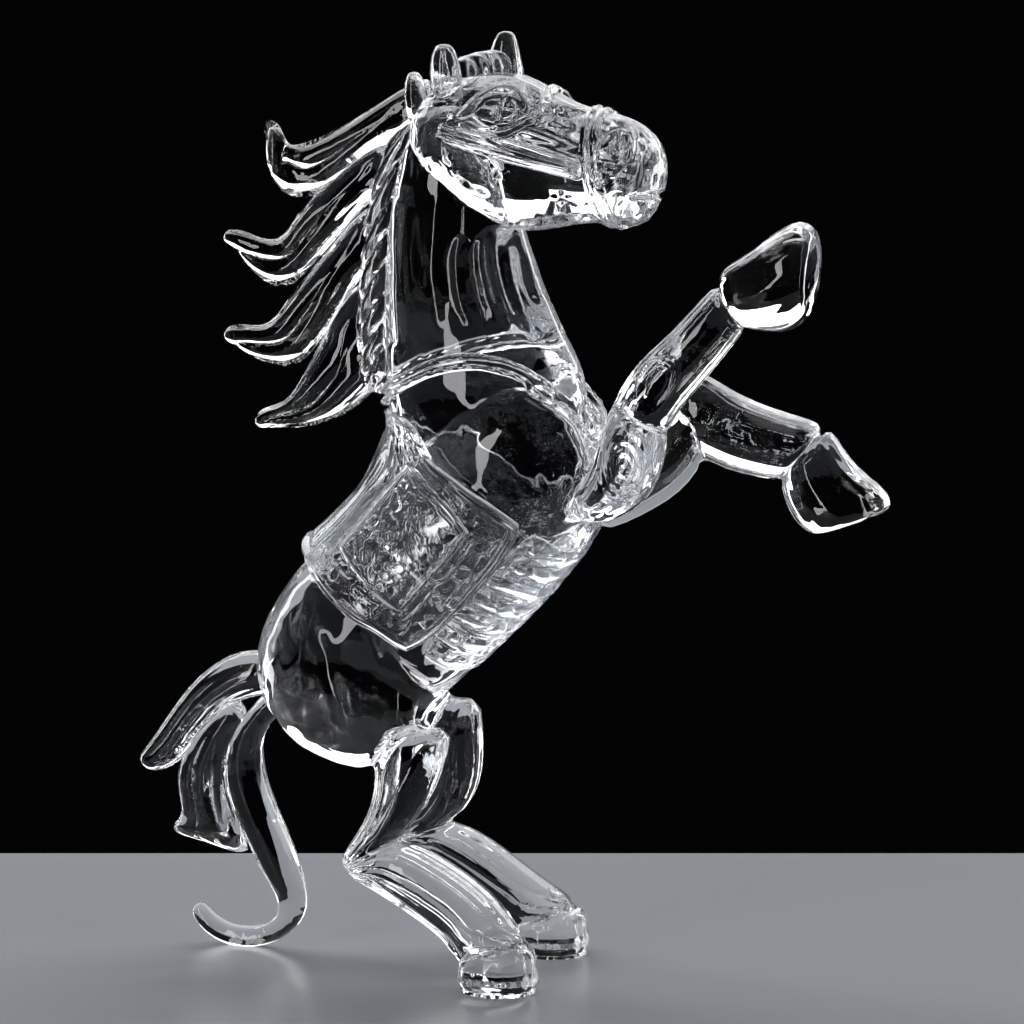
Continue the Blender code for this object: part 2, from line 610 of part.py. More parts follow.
def make_saddlery(trunk):
    """The pressed saddle cloth, its two flaps, the seat and the ribbed girth under the belly."""
    drop = CLOTH_DROP
    rows = trunk_patch(CLOTH_U, drop, (-CLOTH_HALF_ANGLE, CLOTH_HALF_ANGLE), 9, 23)
    rim = [1.0 if max(abs(s), abs(t)) > 0.99 else 0.0 for s in spread(-1, 1, 9) for t in spread(-1, 1, 23)]
    cloth = sheet("saddle_cloth", rows, trunk, CLOTH, CLOTH_THICK, weights=rim)
    for side, angles in (("near", (-FLAP_ANGLES[1], -FLAP_ANGLES[0])), ("far", FLAP_ANGLES)):
        rows = trunk_patch(FLAP_U, (0, 0), angles, 7, 8)
        sheet(side + "_saddle_flap", rows, cloth, CLOTH, FLAP_THICK)
    rows = trunk_patch(SEAT_U, (0, 0), (-SEAT_HALF_ANGLE, SEAT_HALF_ANGLE), 11, 9)
    rise = [s * s * (1 - 0.6 * t * t) for s in spread(-1, 1, 11) for t in spread(-1, 1, 9)]
    sheet("saddle_seat", rows, cloth, CLOTH, SEAT_THICK, weights=rise)
    below = (CLOTH_HALF_ANGLE, 360 - CLOTH_HALF_ANGLE)
    rows = trunk_patch((CLOTH_U[0] + 1, CLOTH_U[1] - 1), drop, below, 2 * GIRTH_RIBS + 1, 9)
    ribs = [float(i % 2) for i in range(2 * GIRTH_RIBS + 1) for _ in range(9)]
    girth = sheet("belly_girth", rows, trunk, CLOTH, GIRTH_THICK, weights=ribs)
    seat(girth, cloth)


def make_collar(trunk):
    """A band round the foot of the neck that rises over each shoulder."""
    rows = []
    for shift in (-COLLAR_HALF_WIDTH, 0, COLLAR_HALF_WIDTH):
        row = []
        for k in range(COLLAR_STEPS):
            angle = 2 * math.pi * k / COLLAR_STEPS
            forward, sideways = math.cos(angle), math.sin(angle)
            rise = COLLAR_RISE[0] * (1 - forward) + COLLAR_RISE[1] * sideways ** 2 * (1 + 0.3 * forward)
            x = COLLAR_CENTRE[0] + COLLAR_RADII[0] * forward
            row.append(Vector((x, COLLAR_RADII[1] * sideways, COLLAR_CENTRE[1] + rise + shift)))
        rows.append(row)
    return sheet("breast_collar", rows, trunk, CLOTH, COLLAR_THICK, closed=True, relax=2)


def make_mane(*parents):
    """The crest along the neck and the four blown locks, each ending in a curled bead."""
    made = [seat(loft("mane_crest", edge_stations(CREST)), *parents)]
    for number, lock in enumerate(LOCKS, 1):
        strand = loft(f"mane_lock_{number}", edge_stations(lock), STRAND_SIDES)
        made.append(seat(strand, *parents, *made))


def make_fore_legs(trunk, collar):
    """Each foreleg is three gathers: upper arm, forearm and hoof."""
    for side, sign, tables in (
        ("near", -1, (NEAR_ARM[::-1], NEAR_FOREARM, NEAR_FORE_HOOF)),
        ("far", 1, (FAR_ARM, FAR_FOREARM, FAR_FORE_HOOF)),
    ):
        y = sign * FORE_LEG_Y
        arm = loft(side + "_upper_arm", edge_stations(tables[0], sign * ARM_ROOT_Y, y))
        forearm = loft(side + "_forearm", edge_stations(tables[1], y))
        hoof = loft(side + "_fore_hoof", edge_stations(tables[2], y))
        seat(arm, trunk, collar)
        seat(forearm, arm, trunk)
        seat(hoof, forearm)


def make_hind_legs(trunk):
    """Each hind leg is three gathers: gaskin, cannon and hoof, and stands on its hoof."""
    for side, sign, gaskin_table, cannon_table in (
        ("near", -1, NEAR_GASKIN, NEAR_CANNON),
        ("far", 1, FAR_GASKIN, FAR_CANNON),
    ):
        foot = sign * HIND_HOOF_Y
        gaskin = loft(side + "_gaskin", edge_stations(gaskin_table, sign * HIP_Y, sign * HOCK_Y))
        cannon = loft(side + "_hind_cannon", edge_stations(cannon_table, sign * HOCK_Y, foot))
        hoof = loft(side + "_hind_hoof", edge_stations(HIND_HOOF, foot))
        seat(gaskin, trunk)
        seat(cannon, gaskin)
        cut_level(seat(hoof, cannon))


def make_tail(trunk):
    """The hooked strand that the horse rests on, and the two shorter strands behind it."""
    hook = cut_level(seat(loft("tail_hook", edge_stations(TAIL_HOOK), STRAND_SIDES), trunk))
    outer = seat(loft("tail_outer_strand", edge_stations(TAIL_OUTER), STRAND_SIDES), trunk, hook)
    seat(loft("tail_middle_strand", edge_stations(TAIL_MIDDLE), STRAND_SIDES), trunk, hook, outer)


def centre_on_floor():
    """Moves the whole figurine so that the origin is under the middle of its box, on the floor."""
    root = bpy.data.objects.new("figurine", None)
    bpy.context.scene.collection.objects.link(root)
    corners = [vertex.co for obj in PIECES.objects for vertex in obj.data.vertices]
    for obj in PIECES.objects:
        obj.parent = root
    for axis, share in ((0, 0.5), (1, 0.5), (2, 0.0)):
        low = min(corner[axis] for corner in corners)
        high = max(corner[axis] for corner in corners)
        root.location[axis] = -(low + (high - low) * share)


def shade():
    for obj in PIECES.objects:
        obj.data.shade_smooth()
        obj.data.set_sharp_from_angle(angle=math.radians(40))


clear_scene()
PIECES = collection("crystal_horse")
CUTTERS = collection("cutters", hidden=True)
BODY = crystal("clear_crystal", (0.97, 0.985, 1.0))
CLOTH = crystal("pressed_crystal", (0.95, 0.97, 1.0), 0.06)
BRIDLE = crystal("bridle_crystal", (0.96, 0.98, 1.0), 0.03)

trunk_gather = make_trunk()
head_parts = make_head_parts()
turn_head(head_parts)
for piece in head_parts:
    seat(piece, trunk_gather)
make_saddlery(trunk_gather)
collar_band = make_collar(trunk_gather)
cloth_parts = [bpy.data.objects[name] for name in ("saddle_cloth", "saddle_seat")]
make_mane(trunk_gather, collar_band, *head_parts, *cloth_parts)
make_fore_legs(trunk_gather, collar_band)
make_hind_legs(trunk_gather)
make_tail(trunk_gather)
centre_on_floor()
shade()
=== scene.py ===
"""Crystal glass figurine of a rearing horse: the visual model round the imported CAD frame."""

import math

import bmesh
import bpy
import numpy as np
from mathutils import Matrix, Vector
from mathutils.bvhtree import BVHTree


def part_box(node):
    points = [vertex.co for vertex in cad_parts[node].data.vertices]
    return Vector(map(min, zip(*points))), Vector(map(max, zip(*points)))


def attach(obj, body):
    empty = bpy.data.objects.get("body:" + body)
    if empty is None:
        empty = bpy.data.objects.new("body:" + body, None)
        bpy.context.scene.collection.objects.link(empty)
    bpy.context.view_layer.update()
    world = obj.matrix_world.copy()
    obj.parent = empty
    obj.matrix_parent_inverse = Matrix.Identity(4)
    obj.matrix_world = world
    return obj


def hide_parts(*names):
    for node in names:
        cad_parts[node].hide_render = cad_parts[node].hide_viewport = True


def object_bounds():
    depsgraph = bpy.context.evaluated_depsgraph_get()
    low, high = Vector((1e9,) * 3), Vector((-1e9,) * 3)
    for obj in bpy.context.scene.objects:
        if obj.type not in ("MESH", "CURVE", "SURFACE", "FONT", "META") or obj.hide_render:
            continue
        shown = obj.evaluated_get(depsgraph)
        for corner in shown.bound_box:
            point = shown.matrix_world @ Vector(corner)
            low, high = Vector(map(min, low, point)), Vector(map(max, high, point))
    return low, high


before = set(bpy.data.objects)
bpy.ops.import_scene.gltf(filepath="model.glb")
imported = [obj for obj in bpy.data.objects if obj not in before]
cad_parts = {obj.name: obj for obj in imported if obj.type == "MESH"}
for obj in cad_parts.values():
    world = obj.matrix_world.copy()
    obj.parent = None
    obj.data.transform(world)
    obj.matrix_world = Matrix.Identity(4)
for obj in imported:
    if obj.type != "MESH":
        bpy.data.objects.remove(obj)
cad_low, cad_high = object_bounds()

MM = 0.001
CENTRE = (cad_low + cad_high) / 2
# The CAD tables are drawn in a frame whose X is this much behind the row frame's, in mm.
SHIFT = Vector((5.5, 0.0, 0.0))

# ---------------------------------------------------------------- mesh helpers


def link(name, mesh):
    obj = bpy.data.objects.new(name, mesh)
    bpy.context.scene.collection.objects.link(obj)
    return obj


def bake(obj):
    """Applies an object's modifiers."""
    graph = bpy.context.evaluated_depsgraph_get()
    made = bpy.data.meshes.new_from_object(obj.evaluated_get(graph))
    old, obj.data = obj.data, made
    obj.modifiers.clear()
    made.name = obj.name
    bpy.data.meshes.remove(old)
    return obj


def read(mesh, what="co"):
    values = np.empty(len(mesh.vertices) * 3, np.float32)
    mesh.vertices.foreach_get(what, values)
    return values.reshape(-1, 3).astype(float)


def write(mesh, points):
    mesh.vertices.foreach_set("co", np.asarray(points, np.float32).ravel())
    mesh.update()


def links_of(mesh):
    pairs = np.empty(len(mesh.edges) * 2, np.int32)
    mesh.edges.foreach_get("vertices", pairs)
    return pairs.reshape(-1, 2)


def relax(points, pairs, passes, give=0.5, take=0.52):
    """Takes facets off without shrinking: each pass smooths, then puts the volume back."""
    a, b = pairs[:, 0], pairs[:, 1]
    size = len(points)
    count = np.maximum(np.bincount(a, minlength=size) + np.bincount(b, minlength=size), 1)
    for step in range(passes):
        for share in (give, -take):
            for axis in range(3):
                line = points[:, axis]
                mean = np.bincount(a, line[b], size) + np.bincount(b, line[a], size)
                points[:, axis] = line + share * (mean / count - line)
    return points


def skin(node, voxel, passes, swell=0.2):
    """A smooth, closed copy of a CAD node, a hair larger so that it meets its neighbours."""
    bm = bmesh.new()
    bm.from_mesh(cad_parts[node].data)
    bmesh.ops.remove_doubles(bm, verts=bm.verts, dist=1e-6)
    mesh = bpy.data.meshes.new(node + "_glass")
    bm.to_mesh(mesh)
    bm.free()
    obj = link(node + "_glass", mesh)
    even = obj.modifiers.new("Even mesh", "REMESH")
    even.mode = "VOXEL"
    even.voxel_size = voxel * MM
    even.use_smooth_shade = True
    bake(obj)
    mesh = obj.data
    write(mesh, relax(read(mesh), links_of(mesh), passes))
    write(mesh, read(mesh) + read(mesh, "normal") * swell * MM)
    return obj


# ---------------------------------------------------------------- materials


def glass(name, tint, grain, dust):
    """Clear glass: faint striae in its skin, a breath of roughness, and a hint of colour."""
    mat = bpy.data.materials.new(name)
    mat.use_nodes = True
    nodes, wires = mat.node_tree.nodes, mat.node_tree.links
    surface = nodes["Principled BSDF"]
    surface.inputs["Transmission Weight"].default_value = 1.0
    surface.inputs["IOR"].default_value = 1.52
    place = nodes.new("ShaderNodeTexCoord")
    striae = nodes.new("ShaderNodeTexNoise")
    striae.inputs["Scale"].default_value = grain
    striae.inputs["Detail"].default_value = 2.0
    wires.new(place.outputs["Object"], striae.inputs["Vector"])
    bump = nodes.new("ShaderNodeBump")
    bump.inputs["Strength"].default_value = 0.1
    bump.inputs["Distance"].default_value = 0.0002
    wires.new(striae.outputs["Fac"], bump.inputs["Height"])
    wires.new(bump.outputs["Normal"], surface.inputs["Normal"])
    haze = nodes.new("ShaderNodeTexNoise")
    haze.inputs["Scale"].default_value = 60.0
    wires.new(place.outputs["Object"], haze.inputs["Vector"])
    rough = nodes.new("ShaderNodeMapRange")
    rough.inputs["From Min"].default_value = 0.35
    rough.inputs["From Max"].default_value = 0.75
    rough.inputs["To Min"].default_value = 0.0
    rough.inputs["To Max"].default_value = dust
    wires.new(haze.outputs["Fac"], rough.inputs["Value"])
    wires.new(rough.outputs["Result"], surface.inputs["Roughness"])
    ramp = nodes.new("ShaderNodeValToRGB")
    ramp.color_ramp.elements[0].color = (*tint, 1)
    ramp.color_ramp.elements[1].color = (1, 1, 1, 1)
    wires.new(haze.outputs["Fac"], ramp.inputs["Fac"])
    wires.new(ramp.outputs["Color"], surface.inputs["Base Color"])
    return mat


FINISH = {
    "clear_crystal": glass("clear_crystal", (0.96, 0.98, 1.0), 90.0, 0.02),
    "pressed_crystal": glass("pressed_crystal", (0.95, 0.97, 1.0), 400.0, 0.05),
    "bridle_crystal": glass("bridle_crystal", (0.96, 0.98, 1.0), 300.0, 0.03),
}


def finish_piece(obj, slot, *nodes):
    """Rests a piece on the ground where it would dip below it, and gives it its glass and its place."""
    points = read(obj.data)
    points[:, 2] = np.maximum(points[:, 2], cad_low.z)
    write(obj.data, points)
    obj.data.materials.clear()
    obj.data.materials.append(FINISH[slot])
    obj.data.shade_smooth()
    obj.data.set_sharp_from_angle(angle=math.radians(78 if slot == "pressed_crystal" else 55))
    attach(obj, "root")
    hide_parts(*nodes)
    return obj


# ---------------------------------------------------------------- shapes of detail


def horse(points):
    """Row-frame metres to the millimetres that the detail is drawn in."""
    return points / MM - np.array(SHIFT)


def smooth_line(points, steps=6):
    """A curve through given points."""
    p = np.array(points, float)
    p = np.vstack([2 * p[0] - p[1], p, 2 * p[-1] - p[-2]])
    made = []
    for a, b, c, d in zip(p, p[1:], p[2:], p[3:]):
        for k in range(steps):
            t = k / steps
            made.append(0.5 * (2 * b + (c - a) * t + (2 * a - 5 * b + 4 * c - d) * t * t
                               + (3 * b - a - 3 * c + d) * t ** 3))
    return np.array(made + [p[-2]])


def near_line(flat, line):
    """Distance of each 2-D point to a curve, and how far along the curve that is, from 0 to 1."""
    best = np.full(len(flat), 1e9)
    where = np.zeros(len(flat))
    done = 0.0
    for a, b in zip(line, line[1:]):
        step = b - a
        size = math.hypot(*step)
        t = np.clip((flat - a) @ step / size ** 2, 0, 1)
        gap = np.hypot(*(flat - a - t[:, None] * step).T)
        closer = gap < best
        best[closer] = gap[closer]
        where[closer] = done + t[closer] * size
        done += size
    return best, where / done


def ease(x, low, high):
    """0 below low, 1 above high, and a soft step between."""
    t = np.clip((x - low) / (high - low), 0, 1)
    return t * t * (3 - 2 * t)


def strokes(flat, drawn):
    """Ridges and grooves: each is (points, half width, height), fading at both its ends."""
    total = np.zeros(len(flat))
    for points, width, height in drawn:
        gap, share = near_line(flat, smooth_line(points))
        total += (height * np.exp(-(gap / width) ** 2)
                  * ease(np.minimum(share, 1 - share), -0.01, 0.12))
    return total


def waves(points, length, seed):
    """Slow, even swells through space, about -1 to 1."""
    draw = np.random.default_rng(seed)
    total = np.zeros(len(points))
    for k in range(7):
        way = draw.normal(size=3)
        way *= 2 * math.pi / length * draw.uniform(0.6, 1.5) / np.linalg.norm(way)
        total += np.sin(points @ way + draw.uniform(0, 6.3))
    return total / 3.2


def curls(a, b, size, seed):
    """Smooth 2-D noise, about -1 to 1, with cells of the given size."""
    table = np.random.default_rng(seed).uniform(0, 2 * math.pi, (64, 64))
    a, b = a / size, b / size
    ia, ib = np.floor(a).astype(int), np.floor(b).astype(int)
    fa, fb = a - ia, b - ib
    ua, ub = (f * f * f * (f * (f * 6 - 15) + 10) for f in (fa, fb))
    total = 0
    for i in (0, 1):
        for j in (0, 1):
            turn = table[(ia + i) % 64, (ib + j) % 64]
            slope = np.cos(turn) * (fa - i) + np.sin(turn) * (fb - j)
            total = total + slope * (ua if i else 1 - ua) * (ub if j else 1 - ub)
    return total * 1.5


def pebbles(a, b, size, seed):
    """Domes on a loose grid of cells: 1 at the top of each, 0 between them."""
    draw = np.random.default_rng(seed)
    shift, girth = draw.uniform(-0.4, 0.4, (2, 64, 64)), draw.uniform(0.42, 0.66, (64, 64))
    ia, ib = np.floor(a / size).astype(int), np.floor(b / size).astype(int)
    top = np.zeros(np.shape(a))
    for i in (-1, 0, 1):
        for j in (-1, 0, 1):
            ka, kb = (ia + i) % 64, (ib + j) % 64
            pa = (ia + i + 0.5 + shift[0][ka, kb]) * size
            pb = (ib + j + 0.5 + shift[1][ka, kb]) * size
            gap = np.hypot(a - pa, b - pb) / (girth[ka, kb] * size)
            top = np.maximum(top, np.sqrt(np.clip(1 - gap ** 2, 0, 1)))
    return top


def stones(a, b, size, seed):
    """Low pebbles with flat tops and steep sides, in mm."""
    return 0.5 * ease(pebbles(a, b, size, seed), 0.0, 0.8)


def worms(a, b, size, seed):
    """Low winding ridges, in mm."""
    return 0.5 * (1 - ease(np.abs(curls(a, b, size, seed)), 0.03, 0.2))


SLICES = 48          # cuts along a strand that its height is read at


def lengthwise(points):
    """How far each point is along its gather, root to tip, and how far up across it, both
    from 0 to 1, and the gather's height there."""
    flat = horse(points)[:, [0, 2]]
    middle = flat.mean(0)
    _, _, axes = np.linalg.svd(flat - middle, full_matrices=False)
    way = axes[0] * (-1 if axes[0][0] > 0 else 1)
    side = np.array((-way[1], way[0]))
    side *= 1 if side[1] > 0 else -1
    a, c = (flat - middle) @ way, (flat - middle) @ side
    last = SLICES - 1
    slot = np.clip(((a - a.min()) / (np.ptp(a) + 1e-9) * last).astype(int), 0, last)
    low, high = np.full(SLICES, 1e9), np.full(SLICES, -1e9)
    np.minimum.at(low, slot, c)
    np.maximum.at(high, slot, c)
    used = low < 1e8
    low = np.interp(np.arange(SLICES), np.flatnonzero(used), low[used])
    high = np.interp(np.arange(SLICES), np.flatnonzero(used), high[used])
    for _ in range(3):
        low, high = (np.convolve(np.pad(x, 1, "edge"), (0.25, 0.5, 0.25), "valid")
                     for x in (low, high))
    where = (a - a.min()) / np.ptp(a)
    lo, hi = (np.interp(where * last, np.arange(SLICES), x) for x in (low, high))
    return where, np.clip((c - lo) / np.maximum(hi - lo, 0.1), 0, 1), hi - lo


def carve(obj, amount):
    """Moves each vertex of a piece along its normal by amount(points, normals), in mm."""
    points, normals = read(obj.data), read(obj.data, "normal")
    write(obj.data, points + normals * amount(points, normals)[:, None] * MM)
    return obj


# ---------------------------------------------------------------- blown and drawn gathers

COARSE = 1.0
SWELL = 0.2          # mm that each gather grows, so that it meets its neighbours
WAVE = 0.1           # mm of slow unevenness that a flame leaves in the skin

POLL = np.array((-15.0, 0.0, 215.0))
HEAD_TURN = math.radians(-10.0)

THROAT = (
    (((-9.5, 190), (-10.5, 183), (-9, 173.5), (-5, 166)), 1.1, 0.7),
    (((-6.5, 190), (-7, 183), (-5, 174), (-2, 166.5)), 0.8, -0.5),
    (((-4.5, 189.5), (-4.5, 183), (-2, 174), (1.5, 166.5)), 1.0, 0.7),
    (((-1.5, 188.5), (-0.5, 181.5), (2, 173.5), (5, 166)), 0.8, -0.5),
    (((1, 187), (3, 178), (6.5, 170), (10, 163)), 1.1, 0.7),
    (((-16, 200), (-17, 188), (-17, 178), (-14.5, 166)), 1.6, 0.45),
    (((-27, 200), (-27.5, 185), (-26.5, 171), (-25, 158)), 1.6, 0.4),
    (((-47, 92), (-42, 84), (-37, 70), (-35, 60)), 2.2, 0.6),
    (((-30, 92), (-29, 82), (-27, 72), (-25, 62)), 2.0, -0.5),
)
FACE = (
    (((8, 218), (11.5, 221), (15, 224.2), (18.5, 225.6), (22.2, 224.8), (25.4, 222), (27.4, 219.4)),
     1.0, 1.2),
    (((8.5, 217), (13, 215.8), (17, 215), (21, 215.1), (24.8, 216.6), (27, 218.8)), 0.85, 1.0),
    (((10, 228.6), (18, 230.2), (25, 227.6)), 1.4, -0.4),
    (((19.2, 220.2), (20.2, 220.2)), 3.2, -0.9),
    (((8, 229), (15.5, 228.4), (22, 226.8), (26.5, 224.4), (31, 222), (38, 219.8)), 1.1, 0.6),
    (((27.8, 222.8), (29.4, 220.9), (27.9, 218.6), (26.6, 217.4)), 0.55, 0.8),
    (((30.4, 222.2), (32, 219.7), (30.5, 217.4), (29.8, 216.2)), 0.55, 0.8),
    (((45.8, 211.4), (47.2, 214), (50, 215.3), (52.4, 213.8), (52.4, 211.5), (50.6, 210.9), (49.8, 212.2)),
     0.5, 0.65),
    (((49.2, 213.4), (50.8, 213.2)), 0.9, -0.7),
    (((43.5, 207.2), (48.5, 206.6), (53.5, 206)), 0.4, -0.5),
    (((43.5, 208.4), (48.5, 207.8), (53.5, 207.2)), 0.45, 0.35),
    (((45.4, 201.4), (48.5, 203.4), (52, 204), (54.5, 204.8)), 0.5, -0.6),
    (((47, 199.8), (50.5, 201.6), (53, 201)), 0.5, 0.4),
    (((51.6, 200.4), (52.6, 199), (50.8, 197), (49.6, 194.8)), 0.5, 0.5),
    (((51.4, 216.4), (53.4, 213.4), (54, 209.6), (53.4, 207.4)), 0.5, 0.45),
    (((0, 210.5), (-0.5, 205.5), (2.5, 200.6), (8.5, 196), (15, 192.8), (20, 191.4)), 0.9, -0.4),
    (((3, 212), (5, 206), (10, 201), (17, 199)), 1.4, 0.35),
)
# The cheek strap's line over the head: how far along it, and how high, in mm.
CHEEK_DROP = (2.2, 9.7, 19.5, 29.2, 40.5), (216.0, 213.8, 211.3, 208.9, 206.1)


def head_place(points):
    """The head's own frame: along it from the poll, across it, and up."""
    x, y, z = (horse(points) - POLL * (1, 1, 0)).T
    c, s = math.cos(HEAD_TURN), math.sin(HEAD_TURN)
    return np.stack((x * c + y * s, y * c - x * s, z), 1)


def face_detail(points, normals):
    place = head_place(points)
    near, far = ease(-normals[:, 1], 0.15, 0.45), ease(normals[:, 1], 0.15, 0.45)
    under_strap = place[:, 2] - np.interp(place[:, 0], *CHEEK_DROP)
    hollow = 0.9 * ease(under_strap, -3.0, -1.6) - 0.9
    hollow *= ease(under_strap, -13, -5) * ease(place[:, 0], 1, 6) * (1 - ease(place[:, 0], 36, 42))
    return (strokes(place[:, [0, 2]], FACE) * (near + 0.15 * far) + hollow * (near + far)
            + 0.3 * WAVE * waves(horse(points), 9, 3))


def trunk_detail(points, normals):
    place = horse(points)
    side = ease(np.abs(normals[:, 1]), 0.2, 0.5)
    return strokes(place[:, [0, 2]], THROAT) * side + 1.3 * WAVE * waves(place, 13, 5)


def comb(points, normals):
    """Slanting leaves down the crest, like the marks of a comb."""
    x, _, z = horse(points).T
    beat = np.abs(np.sin(math.pi * (z - 1.3 * x) / 7.0)) ** 0.6 - 0.6
    return beat * 1.2 * ease(np.abs(normals[:, 1]), 0.05, 0.4) * ease(-x, 25.5, 28)


def ear_shape(widen):
    """Spreads or slims an ear towards its base."""

    def amount(points, normals):
        z = horse(points)[:, 2]
        low = 1 - ease((z - z.min()) / np.ptp(z), 0.1, 0.85)
        return widen * low * ease(np.abs(normals[:, 0]), 0.2, 0.7)

    return amount


def plaits(points, normals):
    """Upright ridges along the forelock."""
    return 0.5 * np.cos(2 * math.pi * horse(points)[:, 1] / 2.6) * np.abs(normals[:, 0])


def fill_down(obj, drop):
    """Lowers a ridge's underside into the head below it, in mm."""
    points, normals = read(obj.data), read(obj.data, "normal")
    points[:, 2] -= drop * ease(-normals[:, 2], -0.1, 0.4) * MM
    write(obj.data, points)


GROWN = 0.25         # mm that gathers grow before they are fused, which closes the seams
LAP = 0.12           # mm that a joint's two faces overlap at their middle


def cad_mesh(name, keep_box=None):
    """A CAD node as a bmesh with welded vertices, cut to a box if one is given."""
    bm = bmesh.new()
    bm.from_mesh(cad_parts[name].data)
    bmesh.ops.remove_doubles(bm, verts=bm.verts, dist=1e-6)
    if keep_box:
        for axis in range(3):
            for sign, corner in zip((-1, 1), keep_box):
                away = Vector((0, 0, 0))
                away[axis] = sign
                bmesh.ops.bisect_plane(bm, geom=bm.verts[:] + bm.edges[:] + bm.faces[:], plane_co=corner,
                                       plane_no=away, clear_outer=True)
                open_edges = [e for e in bm.edges if e.is_boundary]
                bmesh.ops.holes_fill(bm, edges=open_edges, sides=0)
        bmesh.ops.triangulate(bm, faces=bm.faces)
    bmesh.ops.recalc_face_normals(bm, faces=bm.faces)
    for vertex, normal in [(v, v.normal.copy()) for v in bm.verts]:
        vertex.co += normal * GROWN * MM
    return bm


def fuse(names, helpers, voxel, passes, soften, melt):
    """One soft skin over several gathers, and which gather each of its vertices belongs to."""
    low = Vector([min(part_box(n)[0][i] for n in names) for i in range(3)]) - Vector((0.005,) * 3)
    high = Vector([max(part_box(n)[1][i] for n in names) for i in range(3)]) + Vector((0.005,) * 3)
    points, faces, owner = [], [], []
    for number, name in enumerate((*names, *helpers)):
        bm = cad_mesh(name, (low, high) if name in helpers else None)
        bm.verts.index_update()
        faces += [[v.index + len(points) for v in f.verts] for f in bm.faces]
        owner += [number] * len(bm.faces)
        points += [v.co.copy() for v in bm.verts]
        bm.free()
    tree = BVHTree.FromPolygons(points, faces)
    mesh = bpy.data.meshes.new("fused")
    mesh.from_pydata(points, [], faces)
    obj = link("fused", mesh)
    even = obj.modifiers.new("Even mesh", "REMESH")
    even.mode = "VOXEL"
    even.voxel_size = voxel * MM
    bake(obj)
    mesh = obj.data
    pairs = links_of(mesh)
    place = relax(read(mesh), pairs, passes)
    label = np.array([owner[tree.find_nearest(Vector(p))[2]] for p in place])
    near_seam = np.zeros(len(place))
    mixed = label[pairs[:, 0]] != label[pairs[:, 1]]
    near_seam[pairs[mixed].ravel()] = 1
    for _ in range(soften):
        wide = near_seam.copy()
        np.maximum.at(wide, pairs[:, 0], near_seam[pairs[:, 1]] - 1 / soften)
        np.maximum.at(wide, pairs[:, 1], near_seam[pairs[:, 0]] - 1 / soften)
        near_seam = wide
    size = len(place)
    count = np.bincount(pairs.ravel(), minlength=size)
    for _ in range(melt):
        for axis in range(3):
            line = place[:, axis]
            mean = np.bincount(pairs[:, 0], line[pairs[:, 1]], size)
            mean += np.bincount(pairs[:, 1], line[pairs[:, 0]], size)
            place[:, axis] = line + 0.5 * near_seam * (mean / count - line)
    write(mesh, place)
    return obj, label


def part_of(fused, label, number, name):
    """One gather's share of a fused skin, closed across each joint by a face that laps the next."""
    mesh = fused.data
    corners = np.array([p.vertices[:] for p in mesh.polygons])
    others = [(label[corners] == k).astype(float).mean(1) for k in range(label.max() + 1)]
    for _ in range(4):
        soft = []
        for values in others:
            total = np.zeros(len(label))
            count = np.zeros(len(label))
            for k in range(4):
                np.add.at(total, corners[:, k], values)
                np.add.at(count, corners[:, k], 1)
            soft.append((total / np.maximum(count, 1))[corners].mean(1))
        winner = np.argmax(soft, 0)
        others = [(winner == k).astype(float) for k in range(label.max() + 1)]
    keep = corners[winner == number]
    used, index = np.unique(keep, return_inverse=True)
    points = read(mesh)[used]
    made = bpy.data.meshes.new(name + "_glass")
    made.from_pydata(points.tolist(), [], index.reshape(-1, 4).tolist())
    bm = bmesh.new()
    bm.from_mesh(made)
    islands, seen = [], set()
    for start in bm.faces:
        if start in seen:
            continue
        island, queue = [], [start]
        seen.add(start)
        while queue:
            face = queue.pop()
            island.append(face)
            for edge in face.edges:
                for other in edge.link_faces:
                    if other not in seen:
                        seen.add(other)
                        queue.append(other)
        islands.append(island)
    islands.sort(key=len)
    bmesh.ops.delete(bm, geom=[f for island in islands[:-1] for f in island], context="FACES")
    rim = [e for e in bm.edges if e.is_boundary]
    caps = bmesh.ops.holes_fill(bm, edges=rim, sides=0)["faces"]
    bmesh.ops.recalc_face_normals(bm, faces=bm.faces)
    if caps:
        bmesh.ops.poke(bm, faces=caps, offset=LAP * MM, center_mode="MEAN")
    bm.to_mesh(made)
    bm.free()
    return link(name + "_glass", made)


def carve_part(fused, label, number, amount):
    mask = label == number
    points, normals = read(fused.data), read(fused.data, "normal")
    points[mask] += normals[mask] * amount(points[mask], normals[mask])[:, None] * MM
    write(fused.data, points)


def lobe_depth(cuts, depth, start=0.25, stop=0.93, width=0.06):
    """Lengthwise grooves that part a strand into round lobes, deepest near its tip."""

    def amount(points, normals):
        along, across, _ = lengthwise(points)
        total = np.zeros(len(points))
        for cut in cuts:
            total -= np.exp(-np.abs(across - cut) / width)
        fade = ease(along, start - 0.25, start + 0.25) * (1 - ease(along, stop - 0.08, stop))
        return total * depth * fade * ease(np.abs(normals[:, 1]), 0.1, 0.5)

    return amount


def lobes(count, depth, start, stop=0.95, root=0.12):
    """Rounds a strand into full lobes side by side, which grow deeper towards its tip."""

    def amount(points, normals):
        along, across, height = lengthwise(points)
        phase = 2 * (across * count % 1) - 1
        fall = 1 - np.sqrt(np.clip(1 - (0.97 * phase) ** 2, 0, 1))
        full = np.minimum(depth, 0.42 * height / count)
        fade = root + (1 - root) * ease(along, start - 0.15, start + 0.3)
        fade = fade * (1 - ease(along, stop - 0.06, stop + 0.03))
        return -fall * full * fade * ease(np.abs(normals[:, 1]), 0.08, 0.45)

    return amount


CORONET, ROUND = 12.0, 3.2       # mm: how high the hind hooves start, and the rounding of their soles


